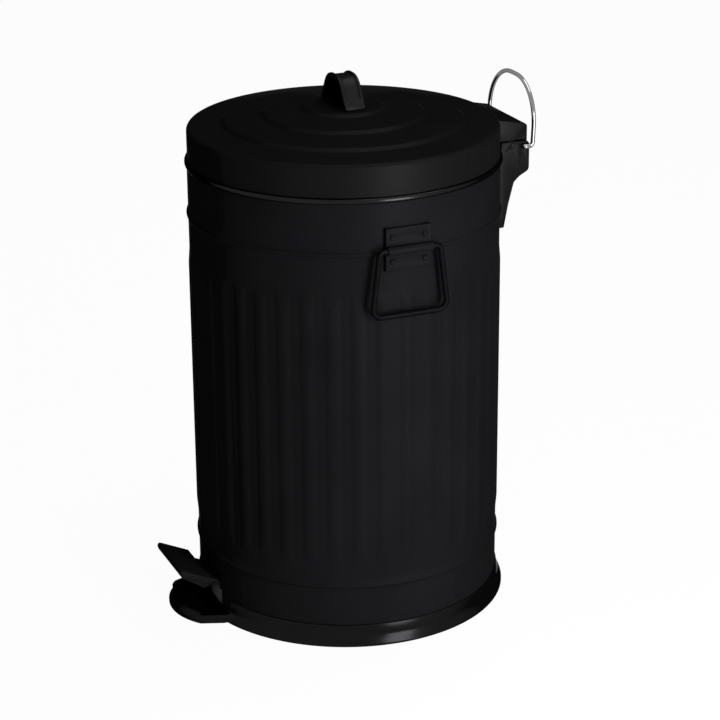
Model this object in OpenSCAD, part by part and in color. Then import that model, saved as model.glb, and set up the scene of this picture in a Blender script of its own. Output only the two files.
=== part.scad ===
// Round pedal bin: fluted steel body, stepped lid on a rear hinge, pedal with a lifting rod,
// inner bucket, wire drop handles and a wire carry bail.
// Millimetres. +Z is up, the floor is z = 0, the origin is on the body's axis,
// the pedal points to -Y and the hinge to +Y.

/* [Body] */
// Outside radius of the steel body
body_r = 140; // [125:1:160]
// Height of the body's top edge above the floor
body_top = 414.4; // [395:1:450]
// Thickness of the body's, lid's and floor's sheet
sheet = 1.0; // [0.6:0.1:1.4]
// Radius of the rolled bead on the top edge
rim_r = 2.6; // [2:0.1:3.2]
// Height of the lower pressed ring
low_ring_z = 57.5; // [54:0.5:66]
// Depth of the upper pressed ring below the body's top edge
high_ring_down = 46.9; // [40:0.1:56]
// How far the pressed rings stand out of the wall
ring_out = 1.6; // [1:0.1:1.9]
// Radius of the pressed rings' round section
ring_r = 2.4; // [2:0.1:3]

/* [Flutes] */
// Number of upright flutes around the body
flute_count = 40; // [24:4:48]
// Radius of a flute's round section
flute_r = 18; // [12:1:24]
// How far a flute stands out of the wall
flute_out = 1.1; // [0.6:0.1:1.3]
// Gap between the lower ring and the flutes
flute_start = 14.5; // [11:0.5:32]
// Gap between the flutes and the upper ring
flute_stop = 29.5; // [26:0.5:60]
// Length of the run-out at each end of a flute
flute_runout = 22; // [10:1:30]

/* [Base ring] */
// Height of the plastic base ring
base_h = 19; // [17:0.5:24]
// How far the base ring flares out at the floor
base_flare = 6.5; // [4:0.5:9]
// Height of the ledge that the body's lower edge stands on
ledge_z = 5; // [4:0.5:7]
// How far the ring reaches inside the body
ledge_in = 7; // [5:0.5:9]
// How far the front tongue reaches past the body
tongue_out = 36.5; // [33:0.5:42]
// Radius of the tongue's round front
tongue_r = 60; // [54:1:66]
// Half width of the tongue where it leaves the ring
tongue_half = 46.5; // [42:0.5:52]
// Half width of the tongue at its front corners
tongue_tip_half = 38.5; // [34:0.5:41]
// Height of the tongue's raised border
tongue_lip_h = 8; // [6:0.5:10]
// Width of the tongue's sloping border
tongue_lip_w = 9; // [7:0.5:10]
// Thickness of the tongue's plate
tongue_t = 2.5; // [2:0.1:3.5]

/* [Lid] */
// Height of the lid's skirt
skirt_h = 28.2; // [25:0.2:33]
// Gap between the lid's skirt and the rim bead below it
lid_gap = 0.5; // [0.4:0.1:1]
// Radius of the rounded edge of the lid
lid_edge_r = 4; // [2:0.5:5]
// Radii of the lid's concentric steps, outermost first
step_radii = [105, 70, 35];
// Rise of each step
step_rise = 2.9; // [2:0.1:4]
// Width of each step's slope
step_run = 4; // [3:0.5:6]
// Gentle rise between two steps
terrace_rise = 2.7; // [1:0.1:4]
// Rise of the lid's crown inside the last step
crown_rise = 1.0; // [0:0.1:2]

/* [Lid grip] */
// Height of the grip's strap above its feet
grip_h = 27; // [24:0.5:34]
// Half width of the grip at its feet
grip_foot_half = 29.5; // [27:0.5:32]
// Half width of the grip at its top
grip_top_half = 13; // [12:0.5:18]
// Width of the strap
grip_w = 19; // [16:0.5:22]
// Thickness of the strap
grip_t = 3.2; // [2.5:0.1:4]
// How far the grip's two edges stand above the strap between them
grip_edge_rise = 1.5; // [0.8:0.1:2.5]

/* [Hinge] */
// Distance of the hinge pin behind the body's wall
hinge_back = 8; // [7.6:0.1:9]
// Height of the hinge pin above the body's top edge
hinge_up = 3.1; // [2:0.1:4]
// Radius of the hinge pin
hinge_pin_r = 2; // [1.6:0.1:2.4]
// Radius of the lid block's knuckle around the pin
knuckle_r = 4.6; // [4.2:0.1:4.8]
// Half width of the hinge bracket
bracket_half = 42; // [38:0.5:46]
// Thickness of the hinge bracket's walls
bracket_t = 2.5; // [2:0.1:3]
// How far the hinge bracket reaches behind the body's wall
bracket_back = 24.5; // [23:0.5:26]
// Length of the bracket's foot down the body
bracket_drop = 76; // [66:1:84]
// How far the lid opens, in degrees
lid_open = 60; // [50:1:62]

/* [Lifting rod and pedal] */
// Radius of the lifting rod
rod_r = 2; // [1.6:0.1:2.4]
// Distance of the rod inside the body's outer wall
rod_in = 10; // [9.5:0.1:11]
// Distance of the pedal's axle in front of the body's axis
axle_front = 20; // [10:1:40]
// Height of the pedal's axle
axle_z = 26; // [25:0.5:28]
// Radius of the pedal's axle
axle_r = 3; // [2.5:0.1:3.5]
// Thickness of the lever's sheet
lever_t = 2; // [1.5:0.1:2.5]
// Height of the lever's top face
lever_z = 32; // [31:0.5:33]
// Height of the lever's side flanges
lever_h = 9; // [8:0.5:10]
// Half width of the lever under the pedal
lever_front_half = 24; // [18:0.5:27]
// Half width of the lever at the rod
lever_rear_half = 9; // [8:0.5:11]
// Slope of the pedal, in degrees
pedal_slope = 25.2; // [18:0.2:30]
// Length of the pedal's tread
pedal_len = 35; // [30:0.5:38]
// Half width of the pedal
pedal_half = 34; // [30:0.5:36]
// Thickness of the pedal
pedal_t = 7.6; // [6.5:0.1:8.5]
// Gap between the body's wall and the pedal
pedal_gap = 8; // [7:0.5:12]
// Number of ribs across the tread
pedal_ribs = 6; // [3:1:7]

/* [Side handles] */
// Radius of the drop handles' wire
handle_wire_r = 2.5; // [2:0.1:3]
// Height of the drop handles' pivot above the upper ring
handle_up = 3.5; // [2:0.5:6]
// Half width of a drop handle at its pivot
handle_top_half = 28; // [26:0.5:31]
// Half width of a drop handle at its lower bar
handle_low_half = 36.5; // [32:0.5:40]
// Drop from the pivot to the lower bar
handle_drop = 58; // [48:0.5:62]
// Half width of the riveted plate
plate_half = 21; // [19:0.5:22]
// Reach of the plate above its pivot
plate_up = 19; // [16:0.5:21]
// Reach of the plate below its pivot
plate_down = 19; // [16:0.5:21]
// Thickness of the plate over the body's pressed ring
plate_t = 0.8; // [0.6:0.1:1.2]
// Thickness of the plate's rolled barrel around the wire
barrel_t = 1.25; // [1:0.05:1.6]
// Radius of a plate rivet's head
rivet_r = 3; // [2.5:0.1:3.5]

/* [Carry bail] */
// Radius of the carry bail's wire
bail_wire_r = 2; // [1.5:0.1:2.2]
// Half width of the carry bail
bail_half = 44.8; // [44.8:0.1:50]
// Height of the carry bail above its pivot
bail_h = 57.5; // [48:0.5:66]
// Radius of the carry bail's upper bends
bail_bend_r = 39.6; // [30:0.2:41]
// Backward lean of the carry bail, in degrees
bail_lean = 2.5; // [1:0.5:6]

/* [Inner bucket] */
// Gap between the body's wall and the bucket's flange
bucket_gap = 15.5; // [15:0.5:30]
// Depth of the bucket's flange below the body's top edge
bucket_down = 18.4; // [18.4:0.2:50]
// How much narrower the bucket is at its foot
bucket_taper = 17.5; // [15:0.5:26]
// Thickness of the bucket's wall
bucket_t = 2; // [1.5:0.1:3]
// Radius of the bucket bail's wire
bucket_wire_r = 2; // [1.5:0.1:2.2]

/* [Hidden] */
$fn = 96;

// Fits
run_fit = 0.05;
seat_gap = 0.1;
free_gap = 0.3;
cut = 1;
corner_steps = 5;
wire_swell = 0.02;
wire_lap = 0.05;
round_fn = 240;
wire_fn = 48;
screw_r = 2;
screw_head_h = 2;
small_head_h = 1.2;

// Body
high_ring_z = body_top - high_ring_down;
flute_low_z = low_ring_z + flute_start;
flute_high_z = high_ring_z - flute_stop;
inner_r = body_r - sheet;
wall_mid_r = body_r - sheet / 2;
ring_mid_r = body_r + ring_out - ring_r;
ring_band = ring_r + seat_gap;
flute_mid_r = body_r + flute_out - flute_r;
flute_dip = 0.4;

// Base ring and tongue
base_foot_h = 2;
base_waist = 0.42;
base_waist_r = 14;
base_lip = 1.3;
ledge_slope = 3;
tongue_root = 14;
tongue_corner = 13.5;
tongue_nose = 0.55;
tongue_lip_flat = 2.5;
tongue_edge_h = 1.5;
lip_reach = 2;
nose_reach = 5;
tongue_edge_in = 1;
ring_lap = 1;
foot_cut = 0.4;
tongue_front = body_r + tongue_out;
tongue_centre = tongue_r - tongue_front;
well_wall = 3;
well_half = tongue_half - well_wall;
doorway_half = lever_front_half + 4;
doorway_top = lever_z + 8;

// Lid
lid_r = body_r - 0.5;
lid_in_r = lid_r - sheet;
lid_low_z = body_top + rim_r + lid_gap;
lid_edge_z = lid_low_z + skirt_h;
lid_step_z = [for (i = [0:len(step_radii) - 1]) lid_edge_z + (i + 1) * (step_rise + terrace_rise)];
lid_seat_z = lid_step_z[len(step_radii) - 1];
crown_flat_r = 3;

// Lid grip: its screws stand in the turned-in feet, with their heads under the lid's crown
grip_screw_x = grip_foot_half - 9.5;
grip_head_r = 3.6;
grip_screw_top = lid_seat_z + crown_rise + grip_t * 0.6;
grip_foot_len = 15;
grip_foot_sink = 1;
grip_bend_r = 17;
grip_foot_bend_r = 3;
grip_corner_r = 5;
grip_edge_w = 2.8;
grip_top_z = lid_seat_z + grip_h;
grip_lean = atan((grip_foot_half - grip_top_half) / (grip_h + grip_foot_sink));
crown_half = step_radii[len(step_radii) - 1];
grip_head_z = lid_seat_z - sheet + crown_rise * (crown_half - grip_screw_x - grip_head_r)
    / (crown_half - crown_flat_r);

// Hinge
inner_reach = 20;
bracket_box_drop = 24;
bracket_step = 15;
bracket_neck = 9.5;
bracket_shin = 4;
bracket_shin_drop = 55;
boss_r = 5;
boss_out = 10;
screw_bite = 7.5;
rib_half = 1;
block_screw_bite = 14;
seam_gap = 0.6;
block_lap = 2;
block_rear_h = 15;
hinge_y = body_r + hinge_back;
hinge_z = body_top + hinge_up;
seam_z = hinge_z + 3.5;
cheek_in = bracket_half - bracket_t;
block_half = cheek_in - free_gap;
bracket_rear_y = body_r + bracket_back;
block_rear_y = bracket_rear_y - 1.2;
block_tail_t = 3;
block_tail_z = hinge_z - 10.8;
nest_z = hinge_z - 13.5;
bail_y = bracket_rear_y - 7;
bail_z = hinge_z - 1;
bail_leg_back = 8.5;
bail_foot_bend = 2.4;
bail_leg_bend = 4;
bail_bends = [0, bail_foot_bend, bail_leg_bend, bail_bend_r,
              bail_bend_r, bail_leg_bend, bail_foot_bend, 0];
block_screw_x = 13;
block_screw_z = lid_low_z + 14.5;
bracket_screw_x = 25;
bracket_screw_z = hinge_z - 31;

// Lifting rod: its ends turn into eyes on the pedal's lever and on the lid's crank
rod_y = body_r - rod_in;
crank_back = hinge_y - rod_y;
crank_drop = crank_back * tan(lid_open / 2);
rod_top_z = hinge_z - crank_drop;
rod_lift = 2 * crank_drop;
rod_arm = rod_y + axle_front;
pedal_turn = rod_lift / rod_arm * 180 / PI;
rod_side = 12;
rod_bend_r = rod_r + 1.5;
guide_wall = 2.5;
guide_h = 18;
guide_web = 3;
guide_foot_half = 11;
eye_x = 6.5;
crank_t = 2;
crank_plate_t = sheet * 1.5;
crank_plate_half = 20;
crank_low = lid_low_z + 5.5;
crank_high = lid_low_z + 23.5;
crank_play = 0.75;
crank_eye_w = 2.9;
eye_gap = 0.75;
clip_t = 1.2;
clip_r = 2 * rod_r;

// Pedal bracket
bracket_sheet = 2;
bracket_len = 40;
pan_rivet_x = 14;
pan_rivet_y = 12;
pan_head_r = 3.4;
ear_low = 7;
ear_low_half = 8;
ear_bend_r = 6;
axle_end = 4;

// Pedal lever
web_low_z = lever_z - lever_t;
flange_low_z = lever_z - lever_h;
lever_mid_z = lever_z - lever_t / 2;
lever_ear_w = 2.5;
rod_ear_w = 3;
bend_relief = 0.5;
bend_lap = 0.6;
rod_notch = 1.4;
pad_bore_h = 1.8;
pad_rivet_in = 9;
rib_t = 1.6;
rib_up = 0.7;
rib_in = 5;
pad_corner_r = 6;
plate_half_w = lever_front_half - bend_relief;
pedal_in_y = -body_r - pedal_gap;
pad_top = pedal_t / 2;
rib_pitch = (pedal_len - 2 * rib_in - 1) / (pedal_ribs - 1);
bend_run = pad_top + 10;
plate_end = bend_run + pedal_len - 8;
bend_y = pedal_in_y - sin(pedal_slope) * pad_top + bend_run * cos(pedal_slope);
taper_start_y = -5;
taper_end_y = rod_y - 45;
lever_end_y = rod_y + 7.5;
ear_half = lever_front_half + 1;

// Side handles
handle_z = high_ring_z + handle_up;
plate_rivet_r = rivet_r * 0.6;
rivet_head_h = 1.5;
rivet_tail_h = 3;
handle_bends = [0, 4, 8, 8, 4, 0];
handle_split = 0.4;
plate_out_x = body_r + ring_out + plate_t;
barrel_r = handle_wire_r + barrel_t;
handle_x = plate_out_x + barrel_r - plate_t;
rivet_y = plate_half - 6;
rivet_high_z = handle_z + plate_up - 8;
rivet_low_z = handle_z - plate_down + 8.5;

// Inner bucket
bucket_r = inner_r - bucket_gap;
bucket_foot_r = bucket_r - bucket_taper;
bucket_top = body_top - bucket_down;
pan_top = low_ring_z + sheet / 2;
bucket_low = pan_top + free_gap;
bucket_flange_w = 4;
bucket_wire_x = bucket_r - bucket_wire_r;
bucket_pivot_z = bucket_top + bucket_wire_r + free_gap;
lug_in = bucket_wire_x - 8;
lug_out = bucket_wire_x - 3;
lug_h = 12;
lug_up = 4.5;
lug_low_half = 7;
lug_top_half = 5;
lug_round = 3;
bucket_foot_h = 4;
bucket_foot_w = 8;
bucket_flange_t = 3;
foot_draft = 0.4;
bucket_foot_bend = 3;
bucket_bend_r = bucket_wire_x - bucket_foot_bend - 1;

// ---------- shapes used by several pieces ----------

function unit(v) = v / norm(v);

// One corner of an outline, as an arc of radius r, or the corner itself where r is 0
function corner_arc(before, at, after, r) =
    r == 0 ? [at] :
    let(
        u = unit(before - at),
        v = unit(after - at),
        half = acos(u * v) / 2,
        centre = at + unit(u + v) * r / sin(half),
        first = at + u * r / tan(half) - centre,
        last = at + v * r / tan(half) - centre,
        from = atan2(first.y, first.x),
        sweep = atan2(first.x * last.y - first.y * last.x, first * last)
    )
    [for (i = [0:corner_steps]) centre + r * [cos(from + sweep * i / corner_steps),
                                              sin(from + sweep * i / corner_steps)]];

// An outline whose points are [x, y, corner radius]
function rounded(points) = [
    for (i = [0:len(points) - 1])
        let(
            n = len(points),
            before = points[(i + n - 1) % n],
            at = points[i],
            after = points[(i + 1) % n]
        )
        each corner_arc([before.x, before.y], [at.x, at.y], [after.x, after.y], at.z)
];

// An outline in the YZ plane, given thickness along X
module along_x(from, to) {
    translate([from, 0, 0]) rotate([90, 0, 90]) linear_extrude(to - from) children();
}

// An outline in the XZ plane, given thickness along Y
module along_y(from, to) {
    translate([0, to, 0]) rotate([90, 0, 0]) linear_extrude(to - from) children();
}

module pin_x(from, to, y, z, r) {
    translate([from, y, z]) rotate([0, 90, 0]) cylinder(h = to - from, r = r);
}

module pin_y(from, to, x, z, r) {
    translate([x, from, z]) rotate([-90, 0, 0]) cylinder(h = to - from, r = r);
}

module tube(from, to, outside, inside) {
    translate([0, 0, from]) linear_extrude(to - from) difference() {
        circle(outside, $fn = round_fn);
        circle(inside, $fn = round_fn);
    }
}

module mirrored_x() {
    children();
    mirror([1, 0, 0]) children();
}

// Round wire along a path of points, with a bend radius for each inner point.
// A bend is a hair thicker than the straight wire, as bent wire is, and the straights lap into it.
module wire(points, bends, r) {
    n = len(points);
    for (i = [0:n - 2]) {
        way = unit(points[i + 1] - points[i]);
        from = points[i] + way * (wire_trim(points, bends, i) - (i == 0 ? 0 : wire_lap));
        to = points[i + 1] - way * (wire_trim(points, bends, i + 1) - (i == n - 2 ? 0 : wire_lap));
        translate(from) rotate([0, acos(way.z), atan2(way.y, way.x)]) cylinder(h = norm(to - from), r = r);
    }
    for (i = [1:n - 2]) wire_bend(points[i - 1], points[i], points[i + 1], bends[i], r + wire_swell);
}

// Length that the bend at point i takes off each straight run beside it
function wire_trim(points, bends, i) =
    i == 0 || i == len(points) - 1 ? 0 :
    bends[i] * tan(acos(unit(points[i] - points[i - 1]) * unit(points[i + 1] - points[i])) / 2);

module wire_bend(before, at, after, bend, r) {
    way_in = unit(at - before);
    way_out = unit(after - at);
    turn = acos(way_in * way_out);
    centre = at + unit(way_out - way_in) * bend / cos(turn / 2);
    out = (at - way_in * bend * tan(turn / 2) - centre) / bend;
    up = cross(out, way_in);
    multmatrix([
        [out.x, way_in.x, up.x, centre.x],
        [out.y, way_in.y, up.y, centre.y],
        [out.z, way_in.z, up.z, centre.z],
        [0, 0, 0, 1]
    ])
        rotate_extrude(angle = turn) translate([bend, 0]) circle(r, $fn = wire_fn);
}

// ---------- body ----------

// The body's solid form with its pressed rings and flutes, moved in by the given depth
module body_form(depth, from, to) {
    translate([0, 0, from]) cylinder(h = to - from, r = body_r - depth, $fn = round_fn);
    for (z = [low_ring_z, high_ring_z]) {
        rotate_extrude($fn = round_fn) translate([ring_mid_r, z]) circle(ring_r - depth, $fn = wire_fn);
    }
    flutes(depth);
}

// The flutes, moved in by the given depth, with sloping run-outs at both ends
module flutes(depth) {
    lap = 3;
    intersection() {
        translate([0, 0, flute_low_z]) linear_extrude(flute_high_z - flute_low_z)
            for (i = [0:flute_count - 1]) {
                rotate(i * 360 / flute_count) translate([flute_mid_r, 0]) intersection() {
                    circle(flute_r - depth);
                    translate([flute_r / 2, -flute_r]) square([flute_r, 2 * flute_r]);
                }
            }
        rotate_extrude($fn = round_fn) translate([-depth, 0]) polygon([
            [body_r - lap, flute_low_z - cut],
            [body_r - flute_dip, flute_low_z],
            [body_r + flute_out + flute_dip, flute_low_z + flute_runout],
            [body_r + flute_out + flute_dip, flute_high_z - flute_runout],
            [body_r - flute_dip, flute_high_z],
            [body_r - lap, flute_high_z + cut],
        ]);
    }
}

module rivet_holes(r) {
    mirrored_x() for (y = [-rivet_y, rivet_y], z = [rivet_low_z, rivet_high_z]) {
        pin_x(0, plate_out_x + cut, y, z, r);
    }
}

module outer_shell() {
    color("#161617") difference() {
        body_form(0, ledge_z, body_top);
        body_form(sheet, ledge_z - cut, body_top + cut);
        translate([-doorway_half, -body_r - cut, 0]) cube([2 * doorway_half, body_r, doorway_top]);
        rivet_holes(plate_rivet_r + run_fit);
        mirrored_x() pin_y(0, body_r + cut, bracket_screw_x, bracket_screw_z, screw_r + run_fit);
    }
}

module body_rim() {
    color("#1c1c1d") difference() {
        rotate_extrude() translate([wall_mid_r, body_top]) circle(rim_r, $fn = wire_fn);
        tube(body_top - rim_r - cut, body_top, body_r, inner_r);
    }
}

// ---------- base ----------

module base_ring_section() {
    polygon(rounded([
        [body_r - ledge_in, 0, 0],
        [body_r + base_flare, 0, 0],
        [body_r + base_flare, base_foot_h, base_foot_h * 0.75],
        [body_r + base_flare * base_waist, base_h * base_waist, base_waist_r],
        [body_r + base_lip, base_h, base_lip * 0.75],
        [body_r, base_h, 0],
        [body_r, ledge_z, 0],
        [body_r - ledge_in + ledge_slope, ledge_z, 0],
        [body_r - ledge_in, ledge_z - ledge_slope * 0.7, 0],
    ]));
}

function tongue_outline(inset) = [
    [-tongue_half + inset, -body_r + tongue_root],
    [-tongue_half + inset, -body_r - lip_reach],
    [-tongue_tip_half + inset, -tongue_front + tongue_corner],
    [-tongue_tip_half * tongue_nose + inset, -tongue_front - nose_reach],
    [tongue_tip_half * tongue_nose - inset, -tongue_front - nose_reach],
    [tongue_tip_half - inset, -tongue_front + tongue_corner],
    [tongue_half - inset, -body_r - lip_reach],
    [tongue_half - inset, -body_r + tongue_root],
];

// The tongue: a plate with a sloping border round its front and low walls along its sides
module tongue() {
    intersection() {
        linear_extrude(tongue_lip_h) polygon(tongue_outline(0));
        union() {
            translate([0, tongue_centre, 0]) cylinder(h = tongue_t, r = tongue_r);
            translate([0, tongue_centre, 0]) rotate_extrude() polygon([
                [tongue_r - tongue_lip_w, 0],
                [tongue_r, 0],
                [tongue_r, tongue_edge_h],
                [tongue_r - tongue_lip_w + tongue_lip_flat, tongue_lip_h],
                [tongue_r - tongue_lip_w, tongue_lip_h],
            ]);
            intersection() {
                difference() {
                    linear_extrude(tongue_lip_h) polygon(tongue_outline(0));
                    translate([0, 0, -cut]) linear_extrude(tongue_lip_h + 2 * cut)
                        polygon(tongue_outline(well_wall));
                }
                translate([0, tongue_centre, 0]) cylinder(h = tongue_lip_h, r = tongue_r - tongue_edge_in);
            }
        }
    }
}

module base_ring() {
    color("#0f0f10") union() {
        difference() {
            rotate_extrude() base_ring_section();
            translate([-well_half, -body_r - base_flare - cut, tongue_t])
                cube([2 * well_half, body_r, base_h]);
            translate([-tongue_half - nose_reach, -body_r - base_flare - cut, -cut])
                cube([2 * (tongue_half + nose_reach), base_flare + cut - foot_cut, base_h + 2 * cut]);
        }
        difference() {
            tongue();
            translate([0, 0, tongue_t]) cylinder(h = base_h, r = body_r + run_fit);
            translate([0, 0, -cut]) cylinder(h = base_h, r = body_r - ledge_in + ring_lap);
        }
    }
}

module floor_pan() {
    groove_r = ring_mid_r + ring_r - sheet - free_gap;
    color("#1b1b1c") difference() {
        translate([0, 0, pan_top - sheet]) cylinder(h = sheet, r = groove_r, $fn = round_fn);
        translate([0, rod_y, pan_top - sheet - cut]) cylinder(h = sheet + 2 * cut, r = rod_r * 2.5);
        pan_rivet_places() cylinder(h = low_ring_z, r = screw_r + run_fit);
    }
}

// ---------- pedal mechanism ----------

module pan_rivet_places() {
    for (x = [-pan_rivet_x, pan_rivet_x], y = [-axle_front - pan_rivet_y, -axle_front + pan_rivet_y]) {
        translate([x, y, pan_top - sheet - bracket_sheet - screw_head_h]) children();
    }
}

module pedal_bracket() {
    top = pan_top - sheet;
    color("#9a9ca0") difference() {
        union() {
            translate([-ear_half - bracket_sheet, -axle_front - bracket_len / 2, top - bracket_sheet])
                cube([2 * (ear_half + bracket_sheet), bracket_len, bracket_sheet]);
            mirrored_x() along_x(ear_half, ear_half + bracket_sheet) polygon(rounded([
                [-axle_front - bracket_len / 2, top, 0],
                [-axle_front - ear_low_half, axle_z - ear_low, ear_bend_r],
                [-axle_front + ear_low_half, axle_z - ear_low, ear_bend_r],
                [-axle_front + bracket_len / 2, top, 0],
            ]));
        }
        pin_x(-body_r, body_r, -axle_front, axle_z, axle_r + run_fit);
        pan_rivet_places() cylinder(h = low_ring_z, r = screw_r + run_fit);
    }
}

module bracket_rivets() {
    color("#8d8f93") pan_rivet_places() {
        cylinder(h = bracket_sheet + sheet + screw_head_h, r = screw_r);
        cylinder(h = screw_head_h, r = pan_head_r);
        translate([0, 0, bracket_sheet + sheet + screw_head_h])
            cylinder(h = small_head_h, r1 = pan_head_r, r2 = pan_head_r - small_head_h);
    }
}

module pedal_axle() {
    color("#b9bbbe") pin_x(-ear_half - bracket_sheet - axle_end, ear_half + bracket_sheet + axle_end,
                           -axle_front, axle_z, axle_r);
}

module axle_clips() {
    color("#6f7276") mirrored_x() difference() {
        pin_x(ear_half + bracket_sheet + free_gap, ear_half + bracket_sheet + free_gap + clip_t,
              -axle_front, axle_z, 2 * axle_r);
        pin_x(0, body_r, -axle_front, axle_z, axle_r);
    }
}

function lever_outline(inset, end) = [
    [lever_front_half - inset, bend_y - end],
    [lever_front_half - inset, taper_start_y],
    [lever_rear_half - inset, taper_end_y],
    [lever_rear_half - inset, lever_end_y + end],
    [-lever_rear_half + inset, lever_end_y + end],
    [-lever_rear_half + inset, taper_end_y],
    [-lever_front_half + inset, taper_start_y],
    [-lever_front_half + inset, bend_y - end],
];

// Places children in the pedal's own frame: origin on the lever's bend, +Y up the slope outwards
module pedal_frame() {
    translate([0, bend_y, lever_mid_z]) rotate([-pedal_slope, 0, 0]) mirror([0, 1, 0]) children();
}

module pedal_lever() {
    color("#a4a6a9") difference() {
        union() {
            difference() {
                translate([0, 0, flange_low_z]) linear_extrude(lever_h)
                    polygon(lever_outline(0, 0));
                translate([0, 0, flange_low_z - cut]) linear_extrude(lever_h - lever_t + cut)
                    polygon(lever_outline(lever_t, cut));
            }
            mirrored_x() pin_x(lever_front_half - lever_t, lever_front_half,
                               -axle_front, axle_z, axle_r + lever_ear_w);
            pin_x(lever_rear_half - lever_t, lever_rear_half, rod_y, axle_z, rod_r + rod_ear_w);
            pedal_frame() translate([-plate_half_w, -bend_lap, -lever_t / 2])
                cube([2 * plate_half_w, plate_end + bend_lap, lever_t]);
        }
        pin_x(-ear_half, ear_half, -axle_front, axle_z, axle_r + run_fit);
        translate([-rod_r - rod_notch, rod_y - rod_r - rod_notch - cut, flange_low_z - cut])
            cube([2 * (rod_r + rod_notch), body_r, lever_h + 2 * cut]);
        along_x(0, lever_rear_half + cut) rod_slot();
        pad_rivet_places() translate([0, 0, -lever_t - cut])
            cylinder(h = lever_t + 2 * cut, r = screw_r + run_fit);
    }
}

// Slot in the lever's flange: the lever's end swings in a little as it rises
module rod_slot() {
    swing = rod_arm * (1 - cos(pedal_turn));
    half = rod_r + free_gap;
    for (y = [rod_y, rod_y + swing]) translate([y, axle_z]) circle(half);
    translate([rod_y, axle_z - half]) square([swing, 2 * half]);
}

module pedal_pad() {
    color("#101011") difference() {
        pedal_frame() {
            difference() {
                union() {
                    translate([-pedal_half, 0, 0]) rotate([90, 0, 90])
                        linear_extrude(2 * pedal_half) pedal_section();
                    for (i = [0:pedal_ribs - 1]) {
                        translate([-pedal_half + rib_in, bend_run + rib_in + i * rib_pitch, 0])
                            cube([2 * (pedal_half - rib_in), rib_t, pad_top + rib_up]);
                    }
                }
                mirrored_x() translate([pedal_half, bend_run + pedal_len, -2 * pedal_t])
                    corner_cutter(pad_corner_r);
            }
        }
        pedal_frame() translate([-plate_half_w - seat_gap, 0, -2 * pedal_t])
            cube([2 * (plate_half_w + seat_gap), plate_end + free_gap, 2 * pedal_t + lever_t / 2]);
        pad_rivet_places() cylinder(h = pad_bore_h, r = screw_r);
    }
}

// Where the rivets stand on the lever's plate, under the pad
module pad_rivet_places() {
    pedal_frame() mirrored_x()
        translate([lever_front_half - pad_rivet_in, bend_run + pedal_len / 2, lever_t / 2]) children();
}

module pad_rivets() {
    color("#8d8f93") pad_rivet_places() {
        translate([0, 0, -lever_t]) cylinder(h = lever_t + pad_bore_h, r = screw_r);
        translate([0, 0, -lever_t - small_head_h])
            cylinder(h = small_head_h, r1 = pan_head_r - small_head_h, r2 = pan_head_r);
    }
}

// Side section of the pedal: thick at its outer end, thinner where it meets the lever
module pedal_section() {
    polygon(rounded([
        [bend_run, pad_top, 1.2],
        [bend_run + pedal_len, pad_top, 2.2],
        [bend_run + pedal_len - 6, pad_top - pedal_t + 1, 3],
        [bend_run + 3.4, pad_top - pedal_t - 2.6, 2.5],
        [bend_run - 2.6, pad_top - 2.2, 1],
    ]));
}

// Takes the square corner off an upright edge and leaves a round one of radius r
module corner_cutter(r) {
    difference() {
        translate([-r, -r, 0]) cube([r + cut, r + cut, body_r]);
        translate([-r, -r, -cut]) cylinder(h = body_r + 2 * cut, r = r);
    }
}

module push_rod() {
    color("#a9abae") wire([
        [rod_side, rod_y, axle_z],
        [0, rod_y, axle_z],
        [0, rod_y, rod_top_z],
        [rod_side, rod_y, rod_top_z],
    ], [0, rod_bend_r, rod_bend_r, 0], rod_r);
}

module rod_clips() {
    color("#6f7276") for (end = [[lever_rear_half, axle_z], [eye_x + crank_t, rod_top_z]]) {
        difference() {
            pin_x(end[0] + eye_gap, end[0] + eye_gap + clip_t, rod_y, end[1], clip_r);
            pin_x(0, body_r, rod_y, end[1], rod_r);
        }
    }
}

module rod_guide() {
    guide_z = (low_ring_z + high_ring_z) / 2;
    color("#141415") difference() {
        union() {
            translate([0, rod_y, guide_z - guide_h / 2]) cylinder(h = guide_h, r = rod_r + guide_wall);
            translate([-guide_web, rod_y, guide_z - guide_h / 2]) cube([2 * guide_web, body_r, guide_h]);
            translate([-guide_foot_half, rod_y + rod_r + guide_web, guide_z - guide_h / 2])
                cube([2 * guide_foot_half, body_r, guide_h]);
        }
        translate([0, rod_y, guide_z - guide_h]) cylinder(h = 2 * guide_h, r = rod_r + run_fit);
        tube(guide_z - guide_h, guide_z + guide_h, 3 * body_r, inner_r);
    }
}

// ---------- hinge ----------

// Side outline of the hinge bracket, moved inwards by the given wall thickness
function bracket_outline(inset) = [
    [body_r - inner_reach, seam_z + (inset > 0 ? cut : 0), 0],
    [bracket_rear_y - inset, seam_z + (inset > 0 ? cut : 0), inset > 0 ? 0 : 4],
    [bracket_rear_y - inset, hinge_z - bracket_box_drop, 5],
    [body_r + bracket_step - inset, hinge_z - bracket_box_drop - 5 + inset, 4],
    [body_r + bracket_neck - inset, hinge_z - bracket_box_drop - 10 + inset, 5],
    [body_r + bracket_shin - inset * 1.3, hinge_z - bracket_shin_drop, 8],
    [body_r - inset * 1.3, hinge_z - bracket_drop + inset, 0],
    [body_r - inner_reach, hinge_z - bracket_drop + inset, 0],
];

// The body, its upper ring and its rim, with a little room, for pieces that sit on them
module body_envelope() {
    cylinder(h = 2 * body_top, r = body_r, $fn = round_fn);
    translate([0, 0, high_ring_z - ring_band])
        cylinder(h = 2 * ring_band, r = body_r + ring_out + seat_gap, $fn = round_fn);
    translate([0, 0, body_top - rim_r - seat_gap])
        cylinder(h = 2 * body_top, r = wall_mid_r + rim_r + free_gap, $fn = round_fn);
}

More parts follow.
